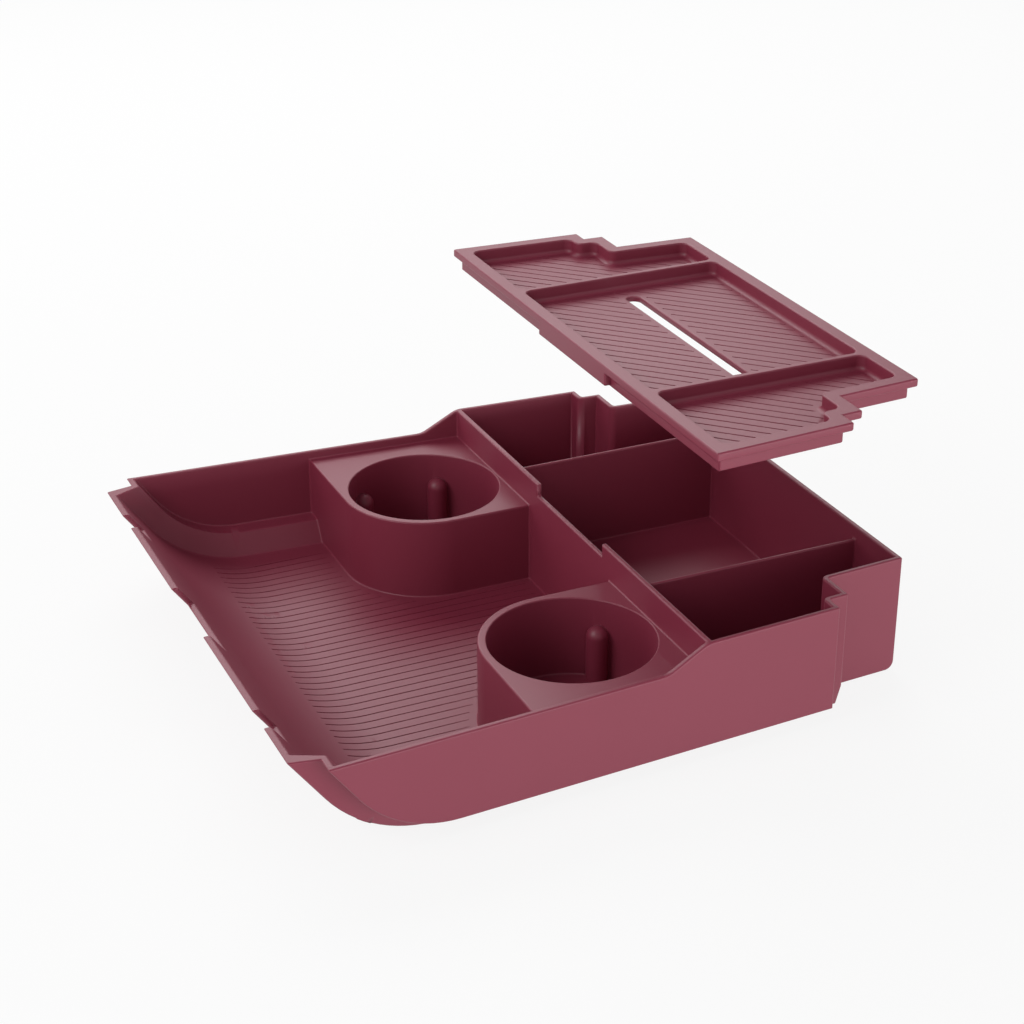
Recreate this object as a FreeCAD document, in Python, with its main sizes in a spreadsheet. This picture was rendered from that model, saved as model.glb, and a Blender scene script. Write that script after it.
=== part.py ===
# Centre console organizer: an open tray with two cup wells and a lift-off upper tray.
# +X runs from the scooped front lip to the rear wall, +Y to the far side, +Z up.
# The origin is on the underside, at the middle of the tray's length and width. Millimetres.
import FreeCAD, Part
import Sketcher
import math
import os

doc = FreeCAD.newDocument("organizer")
sheet = doc.addObject("Spreadsheet::Sheet", "Sizes")


class Size:
    """A length or angle that carries its number and the text of its formula."""

    def __init__(self, value, text):
        self.value = value
        self.text = text

    def __add__(self, other):
        other = as_size(other)
        return Size(self.value + other.value, f"({self.text} + {other.text})")

    def __sub__(self, other):
        other = as_size(other)
        return Size(self.value - other.value, f"({self.text} - {other.text})")

    def __mul__(self, other):
        other = as_size(other)
        return Size(self.value * other.value, f"({self.text} * {other.text})")

    def __truediv__(self, other):
        other = as_size(other)
        return Size(self.value / other.value, f"({self.text} / {other.text})")

    def __neg__(self):
        return Size(-self.value, f"(0 - {self.text})")


def as_size(number):
    if isinstance(number, Size):
        return number
    return Size(float(number), repr(float(number)))


def size(name, value, meaning):
    """Writes one driving dimension to the sheet and returns it."""
    size.row += 1
    sheet.set(f"A{size.row}", name)
    sheet.set(f"B{size.row}", str(value))
    sheet.set(f"C{size.row}", meaning)
    sheet.setAlias(f"B{size.row}", name)
    return Size(value, f"Sizes.{name}")


size.row = 0


def sine(angle):
    return Size(math.sin(math.radians(angle.value)), f"sin({angle.text} * 1 deg)")


def cosine(angle):
    return Size(math.cos(math.radians(angle.value)), f"cos({angle.text} * 1 deg)")


# Tray
tray_length = size("tray_length", 350, "front lip to rear wall")
front_half = size("front_half", 168.5, "half width at the front lip's plane")
rear_half = size("rear_half", 147.7, "half width the side walls taper to at the rear")
wall = size("wall", 3, "side wall, divider, lip and floor thickness")
rear_rim = size("rear_rim", 66.5, "height of the rear compartments' rim")
front_rim = size("front_rim", 54.5, "height of the front rim")
rise_run = size("rise_run", 22, "length of the rim's rise in front of the divider")
rise_round = size("rise_round", 12, "rounding where the rim's rise begins and ends")
divider_front = size("divider_front", 39.5, "position of the divider's front face")
step_one = size("step_one", 116.5, "position of the first step in each side")
step_two = size("step_two", 128, "position of the second step in each side")
step_in = size("step_in", 10, "how far the first step comes in")
step_more = size("step_more", 19.5, "how much further the second step comes in")

# Scooped front
lip_angle = size("lip_angle", 54, "slope of the front lip above the floor")
scoop_radius = size("scoop_radius", 72, "outside radius of the scoop")
skirt_height = size("skirt_height", 8, "height of the side walls' lower edge")
skirt_back = size("skirt_back", 12, "how far the side walls' front stands back from the scoop")
ledge_height = size("ledge_height", 15, "height of the ledge inside each side wall")
tub_inset = size("tub_inset", 10, "ledge: how far the floor tub is set in")
band_in = size("band_in", 8, "how far the inside sloped band leans in")
band_out = size("band_out", 4, "how far the outside sloped band leans in")
step_lift = size("step_lift", 5, "lower edge behind the first step, above the side walls'")
turn_inside = size("turn_inside", 4, "cavity-side radius where a step turns rearward")
turn_outside = size("turn_outside", 1.5, "outside radius where a step turns rearward")
rear_round = size("rear_round", 5, "radius between the rear wall and the underside")
gap_wide = size("gap_wide", 54, "width of the lip's middle notch")
gap_small = size("gap_small", 15.5, "width of the lip's outer notches")
gap_side = size("gap_side", 55.5, "outer notches' distance from the lip's ends")
gap_depth = size("gap_depth", 11, "depth of the lip's notches")

# Cup wells
cup_radius = size("cup_radius", 43, "radius of a cup well")
cup_side_gap = size("cup_side_gap", 18.2, "side wall's outer face to the cup well's edge")
cup_margin = size("cup_margin", 1.7, "rim left between a cup well and the divider")
cup_wall = size("cup_wall", 4.5, "wall of a cup block round its well")
cup_floor = size("cup_floor", 4, "thickness below a cup well")
block_top = size("block_top", 49.5, "height of the cup blocks")
nub_radius = size("nub_radius", 6, "radius of a cup well's gripping rib")
nub_reach = size("nub_reach", 40.5, "rib axis to cup axis")
nub_drop = size("nub_drop", 14, "rib top below the cup's rim")

# Rear compartments
part_side = size("part_side", 77.5, "partitions' distance from the middle")
part_wall = size("part_wall", 2.3, "thickness of a partition")
notch_half = size("notch_half", 40, "half width of the divider's notch")
notch_depth = size("notch_depth", 7.2, "notch and partitions, below the rear rim")

# Upper tray
lid_lift = size("lid_lift", 96, "height of the upper tray above its seat")
flange = size("flange", 4.5, "thickness of the upper tray's flange")
under_play = size("under_play", 0.3, "clearance between the upper tray and the partitions")
lid_play = size("lid_play", 0.5, "clearance between the upper tray and the walls")
tab_play = size("tab_play", 0.6, "clearance of the front tab in the divider's notch")
border = size("border", 8, "flange edge to a pocket's wall")
rib_wall = size("rib_wall", 3.8, "thickness of a rib between two pockets")
pocket_depth = size("pocket_depth", 8, "depth of the pockets")
pocket_round = size("pocket_round", 4.5, "corner radius of the pockets")
pocket_fillet = size("pocket_fillet", 2.5, "radius round a pocket's floor")
slot_half = size("slot_half", 63, "half length of the middle pocket's slot")
slot_width = size("slot_width", 8, "width of that slot")
slot_land = size("slot_land", 0.1, "flat left between the roundings at the slot's ends")
doc.recompute()

# Values that follow from them
half_length = tray_length / 2
taper = (front_half - rear_half) / tray_length
divider_rear = divider_front + wall
rear_inside = half_length - wall
part_top = rear_rim - notch_depth
block_radius = cup_radius + cup_wall
cup_x = divider_front - cup_margin - cup_radius
gap_reach = front_half - gap_side
above = rear_rim + wall * 4


def half_at(x):
    """Half width of the tapered outline at a place along the tray."""
    return front_half - taper * (x + half_length)


cup_side = half_at(cup_x) - cup_side_gap - cup_radius


def both_sides(near):
    """Closes a run of points on the near side with its mirror image on the far side."""
    far = [(x, y) for x, y in reversed(near)]
    return [(x, -y) for x, y in near] + far


def outline(start, inset):
    """Plan outline from start to the rear wall with both steps, set in all round."""
    one = step_one - inset
    two = step_two - inset
    rear = half_length - inset
    second = step_in + step_more + inset
    return both_sides([
        (start, half_at(start) - inset),
        (one, half_at(one) - inset),
        (one, half_at(one) - step_in - inset),
        (two, half_at(two) - step_in - inset),
        (two, half_at(two) - second),
        (rear, half_at(rear) - second),
    ])


def tub_outline(start, inset, thickness):
    """Plan outline of the floor tub, which narrows once, at the second step."""
    two = step_two - thickness
    rear = half_length - thickness
    second = step_in + step_more + thickness
    return both_sides([
        (start, half_at(start) - inset),
        (two, half_at(two) - inset),
        (two, half_at(two) - second),
        (rear, half_at(rear) - second),
    ])


def at_turn(inset):
    """Test for the upright edges where a step turns rearward, in the outline set in."""
    def test(p, run):
        one = step_one.value - inset
        two = step_two.value - inset
        depth_one = half_at(step_one - inset).value - step_in.value - inset
        depth_two = half_at(step_two - inset).value - (step_in + step_more).value - inset
        return abs(run.z) > wall.value and (
            (near_to(p.x, one) and near_to(abs(p.y), depth_one))
            or (near_to(p.x, two) and near_to(abs(p.y), depth_two))
        )
    return test


def new_body(name):
    return doc.addObject("PartDesign::Body", name)


def plane(body, role):
    return next(f for f in body.Origin.OriginFeatures if f.Role == role)


def sketch_on(body, name, role, height=None):
    sketch = body.newObject("Sketcher::SketchObject", name)
    sketch.AttachmentSupport = [(plane(body, role), "")]
    sketch.MapMode = "FlatFace"
    if height is not None:
        sketch.AttachmentOffset = FreeCAD.Placement(
            FreeCAD.Vector(0, 0, height.value), FreeCAD.Rotation()
        )
        sketch.setExpression("AttachmentOffset.Base.z", height.text)
    return sketch


def polygon(sketch, points):
    """Draws a closed polygon whose corners are bound to the sizes."""
    corners = [FreeCAD.Vector(as_size(x).value, as_size(y).value, 0) for x, y in points]
    first = sketch.GeometryCount
    for i, corner in enumerate(corners):
        sketch.addGeometry(Part.LineSegment(corner, corners[(i + 1) % len(corners)]))
    for i, (x, y) in enumerate(points):
        line = first + i
        before = first + (i - 1) % len(points)
        sketch.addConstraint(Sketcher.Constraint("Coincident", before, 2, line, 1))
        for kind, value in (("DistanceX", as_size(x)), ("DistanceY", as_size(y))):
            index = sketch.addConstraint(
                Sketcher.Constraint(kind, -1, 1, line, 1, value.value)
            )
            sketch.setExpression(f"Constraints[{index}]", value.text)


def pad(body, sketch, length, symmetric=False):
    feature = body.newObject("PartDesign::Pad", sketch.Name + "_pad")
    feature.Profile = sketch
    if symmetric:
        feature.SideType = "Symmetric"
    feature.Length = length.value
    feature.setExpression("Length", length.text)
    sketch.Visibility = False
    return feature


def pocket_through(body, sketch):
    feature = body.newObject("PartDesign::Pocket", sketch.Name + "_cut")
    feature.Profile = sketch
    feature.SideType = "Symmetric"
    width = front_half * 3
    feature.Length = width.value
    feature.setExpression("Length", width.text)
    return feature


def edges_where(shape, test):
    """Names of the edges whose middle point and direction pass a test."""
    names = []
    for i, edge in enumerate(shape.Edges):
        middle = edge.valueAt((edge.FirstParameter + edge.LastParameter) / 2)
        ends = edge.Vertexes
        run = ends[-1].Point - ends[0].Point if len(ends) > 1 else FreeCAD.Vector()
        if test(middle, run):
            names.append(f"Edge{i + 1}")
    return names


def fillet(body, base, radius, test):
    doc.recompute()
    names = edges_where(base.Shape, test)
    feature = body.newObject("PartDesign::Fillet", base.Name + "_round")
    feature.Base = (base, names)
    feature.Radius = radius.value
    feature.setExpression("Radius", radius.text)
    return feature


def near_to(a, b, tolerance=0.05):
    return abs(a - b) < tolerance


def lip_x(level, height):
    """Place along the tray where the lip's slope, at a depth inside it, has a height."""
    drop = (front_rim - height) * cosine(lip_angle) / sine(lip_angle)
    return drop - half_length + level / sine(lip_angle)


def scooped(name, plan, level, back, top):
    """A prism of a plan from a level upward, its front cut to the scoop's curve, set back."""
    body = new_body(name)
    base = sketch_on(body, name + "_plan", "XY_Plane", level)
    polygon(base, plan)
    prism = pad(body, base, top - level)
    side = sketch_on(body, name + "_side", "XZ_Plane")
    polygon(side, [
        (lip_x(back, top + wall), top + wall),
        (-tray_length, top + wall),
        (-tray_length, level - wall),
        (lip_x(back, level - wall), level - wall),
    ])
    sloped = pocket_through(body, side)
    foot = lip_x(back, level)
    doc.recompute()
    rounded = fillet(
        body, sloped, scoop_radius - level,
        lambda p, run: near_to(p.x, foot.value) and near_to(p.z, level.value),
    )
    doc.recompute()
    return body, rounded


def banded(body, base, level, drop, lean):
    """Leans the tub's long lower edges into a sloped band, steep side to the wall."""
    for side in (-1, 1):
        doc.recompute()
        names = edges_where(
            base.Shape,
            lambda p, run: near_to(p.z, level.value) and p.x < step_two.value
            and abs(run.x) > abs(run.y) and p.y * side > 0
            and abs(run.x) > block_radius.value,
        )
        feature = body.newObject("PartDesign::Chamfer", base.Name + "_band")
        feature.Base = (base, names[:1])
        feature.ChamferType = "Two distances"
        feature.Size = drop.value
        feature.setExpression("Size", drop.text)
        feature.Size2 = lean.value
        feature.setExpression("Size2", lean.text)
        doc.recompute()
        if not leans_steeply(feature.Shape, level.value, drop.value, side):
            feature.FlipDirection = True
            doc.recompute()
        base = feature
    return base


def leans_steeply(shape, level, drop, side):
    for face in shape.Faces:
        box = face.BoundBox
        flat = isinstance(face.Surface, Part.Plane)
        if flat and near_to(box.ZMin, level) and near_to(box.ZMax, level + drop):
            normal = face.normalAt(0, 0)
            if box.Center.y * side > 0 and abs(normal.y) > abs(normal.z) > 0.1:
                return True
    return False


def cut(name, base, tool):
    feature = doc.addObject("Part::Cut", name)
    feature.Base = base
    feature.Tool = tool
    return feature


def fuse(name, parts, refine=True):
    feature = doc.addObject("Part::MultiFuse", name)
    feature.Shapes = parts
    feature.Refine = refine
    return feature


def prism(name, points, bottom, top):
    body = new_body(name)
    sketch = sketch_on(body, name + "_plan", "XY_Plane", bottom)
    polygon(sketch, points)
    pad(body, sketch, top - bottom)
    return body


def rectangle(x0, x1, y0, y1):
    return [(x0, y0), (x1, y0), (x1, y1), (x0, y1)]


# Outside of the tray: the walled outline, shaped along its rim
walls, last = scooped(
    "walls", outline(-half_length - wall, as_size(0)), skirt_height, skirt_back, rear_rim
)
rim_side = sketch_on(walls, "rim_side", "XZ_Plane")
polygon(rim_side, [
    (-tray_length, front_rim),
    (divider_front - rise_run, front_rim),
    (divider_front, rear_rim),
    (divider_front, above),
    (-tray_length, above),
])
rim_cut = pocket_through(walls, rim_side)
step_side = sketch_on(walls, "step_side", "XZ_Plane")
polygon(step_side, [
    (step_one, skirt_height - wall),
    (tray_length, skirt_height - wall),
    (tray_length, skirt_height + step_lift),
    (step_one, skirt_height + step_lift),
])
last = pocket_through(walls, step_side)
last = fillet(
    walls, last, rise_round,
    lambda p, run: near_to(run.x, 0) and abs(run.y) > rear_half.value and (
        (near_to(p.x, divider_front.value) and near_to(p.z, rear_rim.value))
        or (near_to(p.x, divider_front.value - rise_run.value)
            and near_to(p.z, front_rim.value))
    ),
)
fillet(walls, last, turn_outside, at_turn(0))

# Floor tub: the scoop, the flat floor and the sloped bands along it
tub, last = scooped(
    "tub", tub_outline(-half_length - wall, tub_inset, as_size(0)), as_size(0), as_size(0),
    front_rim,
)
last = banded(tub, last, as_size(0), skirt_height + step_lift, band_out)
last = fillet(
    tub, last, rear_round,
    lambda p, run: near_to(p.x, half_length.value) and near_to(p.z, 0),
)
fillet(tub, last, turn_outside, at_turn(0))
outside = fuse("outside", [walls, tub])

# Front cavity above the ledge and inside the tub
upper_room, last = scooped(
    "upper_room",
    both_sides([
        (-tray_length, half_at(-tray_length) - wall),
        (divider_front, half_at(divider_front) - wall),
    ]),
    ledge_height, ledge_height, above,
)
room_inset = tub_inset + wall
lower_room, last = scooped(
    "lower_room",
    both_sides([
        (-tray_length, half_at(-tray_length) - room_inset),
        (divider_front, half_at(divider_front) - room_inset),
    ]),
    wall, wall, above,
)
banded(lower_room, last, wall, ledge_height - wall, band_in)

# Cup blocks stand in the front cavity, their inner front corner round with the cup
blocks = []
for side, word in ((-1, "near"), (1, "far")):
    y_in = cup_side - block_radius
    block = prism(
        f"{word}_block",
        [(x, y * side) for x, y in rectangle(
            cup_x - block_radius, divider_front + wall, y_in, front_half + wall)],
        as_size(0), block_top,
    )
    doc.recompute()
    fillet(
        block, block.Tip, block_radius,
        lambda p, run: near_to(p.x, cup_x.value - block_radius.value)
        and near_to(abs(p.y), y_in.value) and abs(run.z) > 1,
    )
    blocks.append(block)
front_room = cut("front_room", fuse("front_space", [upper_room, lower_room]),
                 fuse("cup_blocks", blocks))

# Rear compartments
rear_upper = prism("rear_upper", outline(divider_rear, wall), ledge_height, above)
doc.recompute()
fillet(rear_upper, rear_upper.Tip, turn_inside, at_turn(wall.value))
rear_lower = prism(
    "rear_lower", tub_outline(divider_rear, room_inset, wall), wall, above
)
banded(rear_lower, rear_lower.Tip, wall, ledge_height - wall, band_in)
notch = prism(
    "notch",
    rectangle(divider_front - wall, divider_rear + wall, -notch_half, notch_half),
    part_top, above,
)
partitions = []
for side, word in ((-1, "near"), (1, "far")):
    partitions.append(prism(
        f"{word}_partition",
        rectangle(divider_front + wall / 2, rear_inside + wall / 2,
                  part_side * side - part_wall / 2, part_side * side + part_wall / 2),
        wall / 2, part_top,
    ))

# Notches in the lip
gaps = []
for centre, width in ((-gap_reach, gap_small), (as_size(0), gap_wide), (gap_reach, gap_small)):
    gaps.append(prism(
        f"gap_{len(gaps) + 1}",
        rectangle(-half_length - wall, lip_x(wall, front_rim - gap_depth) + wall * 2,
                  centre - width / 2, centre + width / 2),
        front_rim - gap_depth, above,
    ))

# Cup wells with upright gripping ribs that end in a dome
wells = []
ribs = []
for side, angles in ((-1, (45, 165, 285)), (1, (57, 129, 201, 273, 345))):
    well = doc.addObject("Part::Cylinder", f"well_{len(wells) + 1}")
    well.setExpression("Radius", cup_radius.text)
    well.setExpression("Height", (above - cup_floor).text)
    well.setExpression("Placement.Base.x", cup_x.text)
    well.setExpression("Placement.Base.y", (cup_side * side).text)
    well.setExpression("Placement.Base.z", cup_floor.text)
    wells.append(well)
    for angle in angles:
        direction = as_size(angle)
        x = cup_x + nub_reach * cosine(direction)
        y = cup_side * side + nub_reach * sine(direction)
        top = block_top - nub_drop - nub_radius
        stem = doc.addObject("Part::Cylinder", f"rib_stem_{len(ribs) + 1}")
        stem.setExpression("Radius", nub_radius.text)
        stem.setExpression("Height", (top - cup_floor / 2).text)
        dome = doc.addObject("Part::Sphere", f"rib_dome_{len(ribs) + 1}")
        dome.setExpression("Radius", nub_radius.text)
        for solid, z in ((stem, cup_floor / 2), (dome, top)):
            solid.setExpression("Placement.Base.x", x.text)
            solid.setExpression("Placement.Base.y", y.text)
            solid.setExpression("Placement.Base.z", z.text)
        ribs.append(fuse(f"rib_{len(ribs) + 1}", [stem, dome]))
grips = []
for i, (side, word) in enumerate(((-1, "near"), (1, "far"))):
    sleeve = doc.addObject("Part::Cylinder", f"sleeve_{i + 1}")
    sleeve.setExpression("Radius", (cup_radius + cup_margin / 2).text)
    sleeve.setExpression("Height", block_top.text)
    sleeve.setExpression("Placement.Base.x", cup_x.text)
    sleeve.setExpression("Placement.Base.y", (cup_side * side).text)
    grips.append(sleeve)
sleeves = fuse("sleeves", grips)
rib_set = fuse("rib_set", ribs)
grip_ribs = doc.addObject("Part::Common", "grip_ribs")
grip_ribs.Base = rib_set
grip_ribs.Tool = sleeves

# The cup blocks are cored from below to an even wall round each well
core_front = cup_x - block_radius + wall
core_inset = tub_inset + band_out + wall
core_inner = cup_side - block_radius + wall
cores = []
for side, word in ((-1, "near"), (1, "far")):
    block_core = prism(
        f"{word}_block_core",
        [(x, y * side) for x, y in [
            (cup_x, core_inner),
            (divider_front, core_inner),
            (divider_front, half_at(divider_front) - core_inset),
            (core_front, half_at(core_front) - core_inset),
            (core_front, cup_side),
            (cup_x, cup_side),
        ]],
        -wall, block_top - wall,
    )
    well_post = doc.addObject("Part::Cylinder", f"{word}_well_post")
    well_post.setExpression("Radius", (cup_radius + wall).text)
    well_post.setExpression("Height", (block_top + wall).text)
    well_post.setExpression("Placement.Base.x", cup_x.text)
    well_post.setExpression("Placement.Base.y", (cup_side * side).text)
    well_post.setExpression("Placement.Base.z", (-wall).text)
    cores.append(cut(f"{word}_core", block_core, well_post))

hollow = fuse(
    "hollow", [front_room, rear_upper, rear_lower, notch] + gaps + wells + cores
)
shell = cut("shell", outside, hollow)
base_tray = fuse("base_tray", [shell, grip_ribs] + partitions)

# Upper tray: flange, shallow tub below it, front tab, three pockets and the slot
seat = rear_rim + lid_lift
lid_inset = wall + lid_play
lid_top = seat + flange
lid_bottom = seat - notch_depth + under_play
lid_floor = lid_top - pocket_depth
plate = prism("plate", outline(divider_front, as_size(0)), seat, lid_top)
tray_tub = prism("tray_tub", outline(divider_front + lid_inset, lid_inset), lid_bottom,
                 seat + flange / 2)
tab_half = notch_half - tab_play
tab = prism(
    "tab", rectangle(divider_front, divider_front + lid_inset * 1.5, -tab_half, tab_half),
    seat - notch_depth + tab_play, seat + flange / 2,
)
lid_body = fuse("lid_body", [plate, tray_tub, tab])
rib_out = part_side + rib_wall / 2
rib_in = part_side - rib_wall / 2


def pocket_body(name, points):
    body = prism(name, points, lid_floor, lid_top + wall)
    doc.recompute()
    rounded = fillet(body, body.Tip, pocket_round, lambda p, run: abs(run.z) > wall.value)
    fillet(body, rounded, pocket_fillet, lambda p, run: near_to(p.z, lid_floor.value))
    return body


def side_pocket(side):
    """Pocket between a rib and the stepped edge of one side."""
    edge = [(x, -y) for x, y in outline(divider_front + border, border)[:6]]
    rib = [(half_length - border, rib_out), (divider_front + border, rib_out)]
    return [(x, y * side) for x, y in edge + rib]


pockets = [
    pocket_body("near_pocket", side_pocket(-1)),
    pocket_body("far_pocket", side_pocket(1)),
    pocket_body("middle_pocket", rectangle(
        divider_front + border, half_length - border, -rib_in, rib_in)),
]
slot_x = (divider_front + half_length) / 2
slot = prism(
    "slot",
    rectangle(slot_x - slot_width / 2, slot_x + slot_width / 2, -slot_half, slot_half),
    lid_bottom - wall, lid_top,
)
doc.recompute()
slot_round = slot_width / 2 - slot_land
fillet(slot, slot.Tip, slot_round, lambda p, run: abs(run.z) > wall.value)
upper_tray = cut("upper_tray", lid_body, fuse("lid_rooms", pockets + [slot]))

doc.recompute()
for item in doc.Objects:
    if "Invalid" in item.State or "Error" in item.State:
        raise RuntimeError(f"{item.Label} failed: {item.State}")

os.makedirs("parts", exist_ok=True)
for node in (base_tray, upper_tray):
    shape = node.Shape
    if shape.isNull() or not shape.isValid():
        raise RuntimeError(f"{node.Label} has no valid shape")
    print(node.Label, len(shape.Solids), round(shape.Volume), shape.BoundBox)
    shape.exportStep(f"parts/{node.Label}.step")
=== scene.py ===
import bpy
import bmesh
import math
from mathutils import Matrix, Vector
from mathutils.bvhtree import BVHTree


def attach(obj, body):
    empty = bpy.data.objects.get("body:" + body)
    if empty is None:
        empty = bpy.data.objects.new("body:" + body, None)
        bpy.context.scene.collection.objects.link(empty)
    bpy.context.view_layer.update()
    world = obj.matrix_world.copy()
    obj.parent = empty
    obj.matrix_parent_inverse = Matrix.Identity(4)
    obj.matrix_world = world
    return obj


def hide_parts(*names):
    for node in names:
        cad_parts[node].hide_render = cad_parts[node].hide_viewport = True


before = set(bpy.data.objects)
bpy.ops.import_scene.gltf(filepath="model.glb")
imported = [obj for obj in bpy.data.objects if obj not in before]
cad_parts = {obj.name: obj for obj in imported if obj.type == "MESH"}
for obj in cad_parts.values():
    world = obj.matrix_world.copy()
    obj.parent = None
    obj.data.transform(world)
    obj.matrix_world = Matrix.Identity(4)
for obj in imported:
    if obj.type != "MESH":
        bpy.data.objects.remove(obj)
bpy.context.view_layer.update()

mm = 0.001


def linearColour(hexColour, alpha=1.0):
    parts = [int(hexColour[i:i + 2], 16) / 255 for i in (1, 3, 5)]
    bent = [p / 12.92 if p <= 0.04045 else ((p + 0.055) / 1.055) ** 2.4 for p in parts]
    return (*bent, alpha)


def addNode(tree, kind, settings=None, inputs=None):
    node = tree.nodes.new(kind)
    for name, value in (settings or {}).items():
        setattr(node, name, value)
    for name, value in (inputs or {}).items():
        if isinstance(value, bpy.types.NodeSocket):
            tree.links.new(value, node.inputs[name])
        else:
            node.inputs[name].default_value = value
    return node


# moulded ABS, wine red, fine spark-eroded texture: matte, with a soft broad highlight
abs_ = {
    "colour": "#812B40",
    "colourWorn": "#872F45",
    "roughness": 0.46,
    "ior": 1.54,
    "grainMm": 0.35,
    "grainDepthMm": 0.012,
    "grainStrength": 0.4,
    "grainDetail": 2.0,
    "flowMm": 60,
    "flowDetail": 3.0,
}


def mouldedAbs(name):
    material = bpy.data.materials.new(name)
    material.use_nodes = True
    tree = material.node_tree
    shader = tree.nodes["Principled BSDF"]
    place = addNode(tree, "ShaderNodeTexCoord")
    grain = addNode(tree, "ShaderNodeTexNoise", inputs={
        "Vector": place.outputs["Object"], "Scale": 1 / (abs_["grainMm"] * mm),
        "Detail": abs_["grainDetail"],
    })
    flow = addNode(tree, "ShaderNodeTexNoise", inputs={
        "Vector": place.outputs["Object"], "Scale": 1 / (abs_["flowMm"] * mm),
        "Detail": abs_["flowDetail"],
    })
    colour = addNode(tree, "ShaderNodeMix", {"data_type": "RGBA"}, {
        "Factor": flow.outputs["Fac"],
    })
    rgba = [s for s in colour.inputs if s.type == "RGBA"]
    rgba[0].default_value = linearColour(abs_["colour"])
    rgba[1].default_value = linearColour(abs_["colourWorn"])
    result = [s for s in colour.outputs if s.type == "RGBA"][0]
    bump = addNode(tree, "ShaderNodeBump", inputs={
        "Strength": abs_["grainStrength"], "Distance": abs_["grainDepthMm"] * mm,
        "Height": grain.outputs["Fac"],
    })
    tree.links.new(result, shader.inputs["Base Color"])
    tree.links.new(bump.outputs["Normal"], shader.inputs["Normal"])
    shader.inputs["Roughness"].default_value = abs_["roughness"]
    shader.inputs["IOR"].default_value = abs_["ior"]
    return material


trayPlastic = mouldedAbs("mouldedAbsWine")

# every edge of both mouldings is rounded by the same small radius, or less where it has no room
edges = {
    "radiusMm": 1.0,
    "segments": 3,
    "sharpDeg": 28,    # an edge is rounded when its faces meet at more than this
    "mergeMm": 0.02,    # points of the copy closer than this are one
    "flatDeg": 0.6,    # facets this close to one plane become one face
    "roomMm": 2.1,    # flat surface that a full rounding needs beside its edge
    "stepMm": 0.3,
    "awayMm": 0.06,    # the surface is no longer flat once it falls away by this
    "turnDeg": 20,
    "leastShare": 0.4,    # below this share of the radius an edge stays sharp
    "shortestMm": 8,    # a shorter broken run of edges stays sharp too
    "strayMm": 0.45,
    "tinyMm2": 1.2,
    "turnedBelow": -0.2,
    "tidyRounds": 3,
    "degenerateMm": 0.001,
    "smoothDeg": 34,
    "normalWeight": 80,
}
# here fillets or the scoop run out to nothing, and the edges stay as the CAD has them
plainZones = {
    "rearFootMm": ((95, 0, 7.5), (180, 170, 15.6)),
    "ledgeFrontMm": ((-180, 149, 9), (-99, 157, 17)),
}


def activate(piece):
    bpy.ops.object.select_all(action="DESELECT")
    piece.select_set(True)
    bpy.context.view_layer.objects.active = piece


def applyModifier(piece, kind, settings):
    modifier = piece.modifiers.new(kind.lower(), kind)
    for name, value in settings.items():
        setattr(modifier, name, value)
    activate(piece)
    bpy.ops.object.modifier_apply(modifier=modifier.name)


def roomBeside(loop, surface):
    # how far the surface runs on flat from the middle of an edge into the face beside it,
    # and not past twice the face's own width
    start, end = loop.vert.co, loop.link_loop_next.vert.co
    normal = loop.face.normal
    inward = normal.cross(end - start).normalized()
    width = max((v.co - start).dot(inward) for v in loop.face.verts) / mm
    room = min(edges["roomMm"], 2 * width)
    steps = math.floor(room / edges["stepMm"] + 0.01)
    for i in range(1, steps + 1):
        point = (start + end) / 2 + inward * i * edges["stepMm"] * mm
        _, facing, _, away = surface.find_nearest(point)
        turned = facing.dot(normal) < math.cos(math.radians(edges["turnDeg"]))
        if away > edges["awayMm"] * mm or turned:
            return (i - 1) * edges["stepMm"]
    return room


def staysPlain(edge):
    for low, high in plainZones.values():
        spots = [(v.co.x / mm, abs(v.co.y) / mm, v.co.z / mm) for v in edge.verts]
        if all(low[i] < spot[i] < high[i] for spot in spots for i in range(3)):
            return True
    return False


def rounding(edge, surface):
    # the share of the full radius that this edge takes
    if not edge.is_manifold or abs(edge.calc_face_angle(0)) < math.radians(edges["sharpDeg"]):
        return 0.0
    share = min(roomBeside(loop, surface) for loop in edge.link_loops) / edges["roomMm"]
    return 0.0 if share < edges["leastShare"] or staysPlain(edge) else share


def solidCopy(node, name):
    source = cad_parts[node]
    mesh = source.data.copy()
    mesh.transform(source.matrix_world)
    mesh.materials.clear()
    piece = bpy.data.objects.new(name, mesh)
    bpy.context.collection.objects.link(piece)
    work = bmesh.new()
    work.from_mesh(mesh)
    bmesh.ops.remove_doubles(work, verts=work.verts, dist=edges["mergeMm"] * mm)
    bmesh.ops.dissolve_limit(
        work, angle_limit=math.radians(edges["flatDeg"]), verts=work.verts, edges=work.edges,
    )
    work.to_mesh(mesh)
    work.free()
    return piece


def placeOf(edge):
    return frozenset(tuple(round(c / mm, 3) for c in v.co) for v in edge.verts)


def runFrom(first, shares):
    # the rounded edges that follow on smoothly from this one
    run, ends = {first}, [first]
    straight = -math.cos(math.radians(edges["turnDeg"]))
    while ends:
        edge = ends.pop()
        for v in edge.verts:
            way = (edge.other_vert(v).co - v.co).normalized()
            for other in v.link_edges:
                onward = (other.other_vert(v).co - v.co).normalized()
                if shares[other] and other not in run and way.dot(onward) < straight:
                    run.add(other)
                    ends.append(other)
    return run


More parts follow.
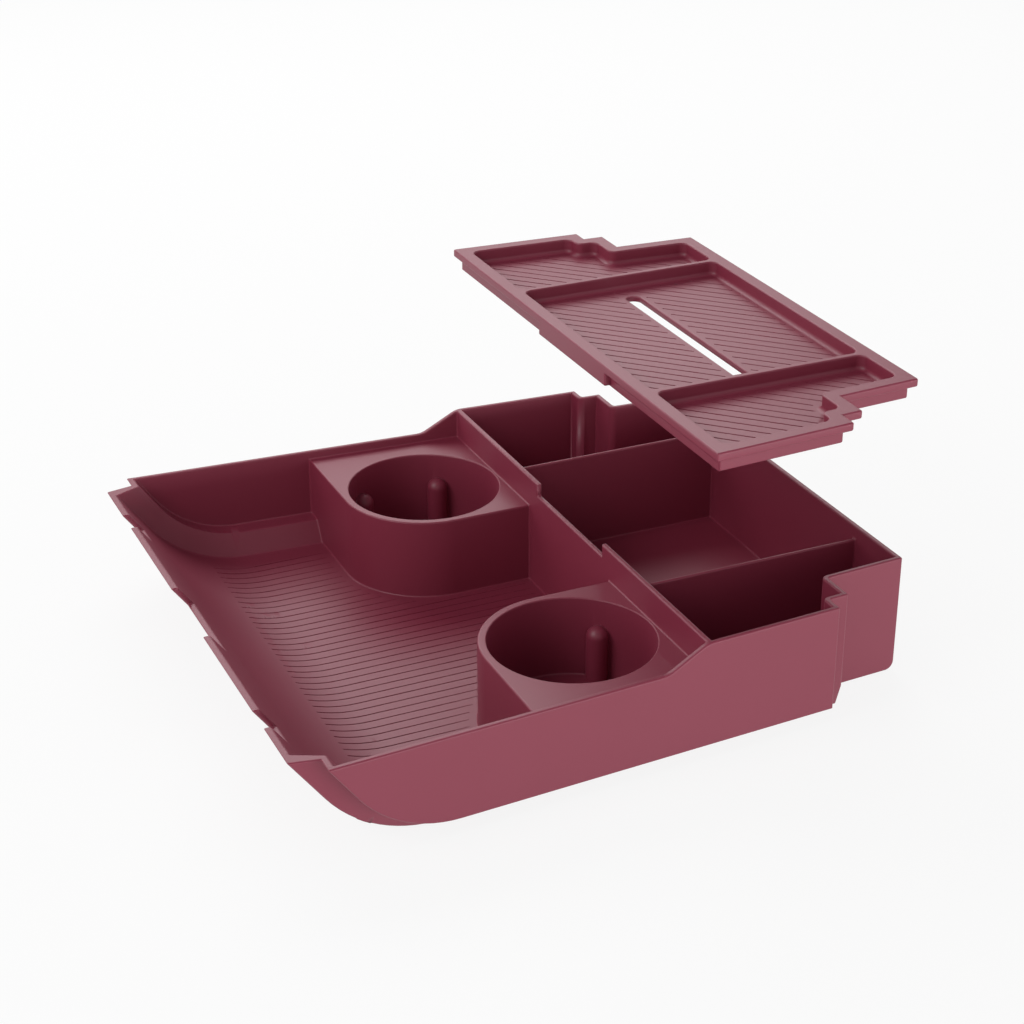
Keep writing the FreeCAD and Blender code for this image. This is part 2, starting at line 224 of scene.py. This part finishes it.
def roundings(piece):
    # taken before the grooves are cut, whose own edges stay crisp
    work = bmesh.new()
    work.from_mesh(piece.data)
    surface = BVHTree.FromBMesh(work)
    shares = {edge: rounding(edge, surface) for edge in work.edges}
    done = set()
    for first in work.edges:
        if first in done or not shares[first]:
            continue
        run = runFrom(first, shares)
        done |= run
        least = min(shares[edge] for edge in run)
        length = sum(edge.calc_length() for edge in run)
        if len(run) > 2 and length < edges["shortestMm"] * mm:
            least = 0.0
        shares.update({edge: least for edge in run})
    places = {placeOf(edge): share for edge, share in shares.items()}
    work.free()
    return places


def isTurned(face, surface):
    # a tiny face that crowded roundings left facing into the wall
    if face.calc_area() > edges["tinyMm2"] * mm * mm:
        return False
    _, facing, _, _ = surface.find_nearest(face.calc_center_median())
    return facing.dot(face.normal) < edges["turnedBelow"]


def tidyCrowded(piece, surface):
    # points that crowded roundings threw off go back onto the solid, and turned faces close up
    work = bmesh.new()
    work.from_mesh(piece.data)
    for v in work.verts:
        near, _, _, away = surface.find_nearest(v.co)
        if away > edges["strayMm"] * mm:
            v.co = near
    for _ in range(edges["tidyRounds"]):
        work.normal_update()
        turned = {face for face in work.faces if isTurned(face, surface)}
        crossed = [edge for edge in work.edges if turned.intersection(edge.link_faces)]
        bmesh.ops.collapse(work, edges=crossed)
    bmesh.ops.dissolve_degenerate(work, dist=edges["degenerateMm"] * mm, edges=work.edges)
    work.to_mesh(piece.data)
    work.free()


def roundEdges(piece, shares):
    work = bmesh.new()
    work.from_mesh(piece.data)
    surface = BVHTree.FromBMesh(work)
    weights = work.edges.layers.float.new("bevel_weight_edge")
    for edge in work.edges:
        edge[weights] = shares.get(placeOf(edge), 0.0)
    work.to_mesh(piece.data)
    work.free()
    applyModifier(piece, "BEVEL", {
        "width": edges["radiusMm"] * mm,
        "segments": edges["segments"],
        "limit_method": "WEIGHT",
        "use_clamp_overlap": False,
        "loop_slide": False,
    })
    tidyCrowded(piece, surface)


def finishPiece(piece):
    activate(piece)
    bpy.ops.object.shade_smooth_by_angle(angle=math.radians(edges["smoothDeg"]))
    applyModifier(piece, "WEIGHTED_NORMAL", {
        "keep_sharp": True, "weight": edges["normalWeight"],
    })
    piece.data.materials.append(trayPlastic)
    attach(piece, "root")


# a groove is narrower at its bottom, and runs out at its two ends
groove = {"bottom": 0.6, "endDepth": 0.2}


def sweep(mesh, points, across, width, depth, lift):
    # a closed groove cutter with four corners at each point
    side = Vector(across) * width * mm / 2
    rings = []
    for i, point in enumerate(points):
        middle = Vector(point) * mm
        sink = depth if 0 < i < len(points) - 1 else depth * groove["endDepth"]
        low = middle - Vector((0, 0, sink * mm))
        high = middle + Vector((0, 0, lift * mm))
        rings.append([
            mesh.verts.new(corner) for corner in
            (low - side * groove["bottom"], low + side * groove["bottom"],
             high + side, high - side)
        ])
    for before, after in zip(rings, rings[1:]):
        for i in range(4):
            j = (i + 1) % 4
            mesh.faces.new((before[i], before[j], after[j], after[i]))
    mesh.faces.new(rings[0][::-1])
    mesh.faces.new(rings[-1])


def cutGrooves(piece, mesh):
    bmesh.ops.recalc_face_normals(mesh, faces=mesh.faces)
    data = bpy.data.meshes.new("grooveCutters")
    mesh.to_mesh(data)
    mesh.free()
    cutters = bpy.data.objects.new("grooveCutters", data)
    bpy.context.collection.objects.link(cutters)
    applyModifier(piece, "BOOLEAN", {
        "operation": "DIFFERENCE", "solver": "EXACT", "object": cutters,
    })
    bpy.data.objects.remove(cutters)


# front bin: shallow grooves along the tray, from the scoop to just before the cup blocks
floorGrooves = {
    "pitchMm": 6.4, "widthMm": 1.0, "depthMm": 0.7, "liftMm": 0.8,
    "count": 41, "frontMm": -123.4, "dividerMm": 35, "gapMm": 4.5, "stepMm": 2.5,
}
scoop = {"flatMm": -98.7, "radiusMm": 69, "floorMm": 3}
cups = {"xMm": -5.2, "sideMm": 97.2, "blockMm": 47.5}


def scoopHeight(x):
    back = max(0.0, scoop["flatMm"] - x)
    return scoop["floorMm"] + scoop["radiusMm"] - math.sqrt(scoop["radiusMm"] ** 2 - back ** 2)


def grooveEnd(y):
    keep = cups["blockMm"] + floorGrooves["gapMm"]
    inward = cups["sideMm"] - abs(y)
    if inward <= 0:
        return cups["xMm"] - keep
    if inward < keep:
        return min(cups["xMm"] - math.sqrt(keep ** 2 - inward ** 2), floorGrooves["dividerMm"])
    return floorGrooves["dividerMm"]


def floorCutters():
    mesh = bmesh.new()
    g = floorGrooves
    for i in range(g["count"]):
        y = (i - (g["count"] - 1) / 2) * g["pitchMm"]
        end = grooveEnd(y)
        curved = math.ceil((scoop["flatMm"] - g["frontMm"]) / g["stepMm"])
        stops = [g["frontMm"] + k * g["stepMm"] for k in range(curved)] + [scoop["flatMm"], end]
        line = [(x, y, scoopHeight(x)) for x in stops]
        sweep(mesh, line, (0, 1, 0), g["widthMm"], g["depthMm"], g["liftMm"])
    return mesh


# upper tray: slanting grooves over the floor of each pocket, clear of its walls and the slot
pocketGrooves = {
    "pitchMm": 6.8, "widthMm": 1.1, "depthMm": 0.8, "liftMm": 0.5,
    "floorMm": 159, "shortestMm": 5,
}
pocketEdge = {
    "front": 51, "rear": 163.5, "middle": 72, "ribOut": 83,
    "outerFront": 143.6, "outerStep": 140.2, "stepOne": 105, "innerOne": 130.2,
    "innerTwo": 129.5, "stepTwo": 116.5, "narrowTwo": 110, "narrowRear": 107.3,
}
slotEdge = {"front": 100, "rear": 114.5, "half": 66}


def pocketOutlines():
    e = pocketEdge
    outer = [
        (e["front"], e["ribOut"]), (e["rear"], e["ribOut"]), (e["rear"], e["narrowRear"]),
        (e["stepTwo"], e["narrowTwo"]), (e["stepTwo"], e["innerTwo"]),
        (e["stepOne"], e["innerOne"]), (e["stepOne"], e["outerStep"]),
        (e["front"], e["outerFront"]),
    ]
    s = slotEdge
    middle = [
        (e["front"], -e["middle"]), (e["rear"], -e["middle"]),
        (e["rear"], e["middle"]), (e["front"], e["middle"]),
    ]
    slot = [
        (s["front"], -s["half"]), (s["rear"], -s["half"]),
        (s["rear"], s["half"]), (s["front"], s["half"]),
    ]
    return [[outer], [[(x, -y) for x, y in outer]], [middle, slot]]


def spans(loops, total):
    # where the line x + y = total runs inside the loops
    crossings = []
    for loop in loops:
        for (x0, y0), (x1, y1) in zip(loop, loop[1:] + loop[:1]):
            a, b = x0 + y0 - total, x1 + y1 - total
            if (a > 0) != (b > 0):
                crossings.append(x0 + (x1 - x0) * a / (a - b))
    crossings.sort()
    return zip(crossings[::2], crossings[1::2])


def pocketCutters():
    mesh = bmesh.new()
    g = pocketGrooves
    across = Vector((1, 1, 0)).normalized()
    for loops in pocketOutlines():
        totals = [x + y for loop in loops for x, y in loop]
        pitch = g["pitchMm"] * math.sqrt(2)
        for k in range(math.ceil(min(totals) / pitch), math.floor(max(totals) / pitch) + 1):
            for x0, x1 in spans(loops, k * pitch):
                if x1 - x0 < g["shortestMm"]:
                    continue
                stops = [x0, x0 + 1, x1 - 1, x1]
                line = [(x, k * pitch - x, g["floorMm"]) for x in stops]
                sweep(mesh, line, across, g["widthMm"], g["depthMm"], g["liftMm"])
    return mesh


def dressNode(node, name, cutters):
    piece = solidCopy(node, name)
    shares = roundings(piece)
    cutGrooves(piece, cutters)
    roundEdges(piece, shares)
    finishPiece(piece)
    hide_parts(node)
    print(name, len(piece.data.polygons), "faces")


dressNode("base_tray", "baseTraySkin", floorCutters())
dressNode("upper_tray", "upperTraySkin", pocketCutters())

# camera
camera = {
    "place": (-0.4241, -0.9469, 0.5862),
    "turn": -24.428,
    "down": 26.209,
    "focalPixels": 2176.2,
}
cameraData = bpy.data.cameras.new("photoCamera")
cameraData.sensor_width = 36
cameraData.lens = camera["focalPixels"] / 1024 * 36
cameraData.clip_end = 50
cameraObject = bpy.data.objects.new("photoCamera", cameraData)
bpy.context.collection.objects.link(cameraObject)
cameraObject.location = camera["place"]
cameraObject.rotation_euler = (
    math.radians(90 - camera["down"]), 0, math.radians(camera["turn"])
)
bpy.context.scene.camera = cameraObject
print("camera placed")

# floor
studio = {"floorSize": 6.0, "white": "#E8E8E8", "shadowKept": 0.12}
bpy.ops.object.select_all(action="DESELECT")
bpy.ops.mesh.primitive_plane_add(size=studio["floorSize"], location=(0, 0, -0.0002))
floor = bpy.context.object
floor.name = "floor"
floorMaterial = bpy.data.materials.new("paleFloor")
floorMaterial.use_nodes = True
tree = floorMaterial.node_tree
shader = tree.nodes["Principled BSDF"]
shader.inputs["Base Color"].default_value = linearColour(studio["white"])
shader.inputs["Roughness"].default_value = 0.9
ray = addNode(tree, "ShaderNodeLightPath")
glow = addNode(tree, "ShaderNodeEmission", inputs={"Strength": 1.0})
mixed = addNode(tree, "ShaderNodeMixShader")
lifted = addNode(tree, "ShaderNodeMath", {"operation": "MULTIPLY"}, {
    0: ray.outputs["Is Camera Ray"], 1: 1 - studio["shadowKept"],
})
seen = addNode(tree, "ShaderNodeMath", {"operation": "MAXIMUM"}, {
    0: lifted.outputs[0], 1: ray.outputs["Is Glossy Ray"],
})
shown = addNode(tree, "ShaderNodeMath", {"operation": "MAXIMUM"}, {
    0: seen.outputs[0], 1: ray.outputs["Is Transmission Ray"],
})
tree.links.new(shown.outputs[0], mixed.inputs[0])
tree.links.new(shader.outputs[0], mixed.inputs[1])
tree.links.new(glow.outputs[0], mixed.inputs[2])
tree.links.new(mixed.outputs[0], tree.nodes["Material Output"].inputs["Surface"])
floor.data.materials.append(floorMaterial)

# a light tent, even all round, white to the camera
tent = {"horizon": 0.95, "overhead": 0.25, "fadeFrom": 0.15, "fadeTo": 0.7}
world = bpy.data.worlds.new("studio")
bpy.context.scene.world = world
world.use_nodes = True
tree = world.node_tree
way = addNode(tree, "ShaderNodeTexCoord")
parts = addNode(tree, "ShaderNodeSeparateXYZ", inputs={0: way.outputs["Generated"]})
fade = addNode(tree, "ShaderNodeMapRange", {"interpolation_type": "SMOOTHSTEP"}, {
    "Value": parts.outputs["Z"], "From Min": tent["fadeFrom"], "From Max": tent["fadeTo"],
    "To Min": tent["horizon"], "To Max": tent["overhead"],
})
ray = addNode(tree, "ShaderNodeLightPath")
strength = addNode(tree, "ShaderNodeMix", inputs={
    "Factor": ray.outputs["Is Camera Ray"],
})
tree.links.new(fade.outputs["Result"], strength.inputs[2])
strength.inputs[3].default_value = 1.0
tree.links.new(strength.outputs[0], tree.nodes["Background"].inputs["Strength"])
tree.nodes["Background"].inputs["Color"].default_value = (1, 1, 1, 1)


def softbox(name, place, target, size, power):
    light = bpy.data.lights.new(name, "AREA")
    light.shape = "RECTANGLE"
    light.size, light.size_y = size
    light.energy = power
    lamp = bpy.data.objects.new(name, light)
    lamp.location = place
    lamp.rotation_euler = (Vector(target) - Vector(place)).to_track_quat("-Z", "Y").to_euler()
    bpy.context.collection.objects.link(lamp)


softboxes = {
    "nearLight": {
        "place": (0.7, -2.0, 0.07), "target": (0, 0, 0.06), "size": (1.8, 0.12), "power": 18,
    },
    "sideLight": {
        "place": (-1.4, -0.2, 1.3), "target": (0, 0, 0.05), "size": (0.9, 0.8), "power": 11,
    },
    "backLight": {
        "place": (0.15, 1.4, 1.3), "target": (0, 0, 0.05), "size": (2.0, 1.0), "power": 21,
    },
}
for lightName, box in softboxes.items():
    softbox(lightName, **box)
print("lights placed")

bpy.context.scene.view_settings.view_transform = "Standard"
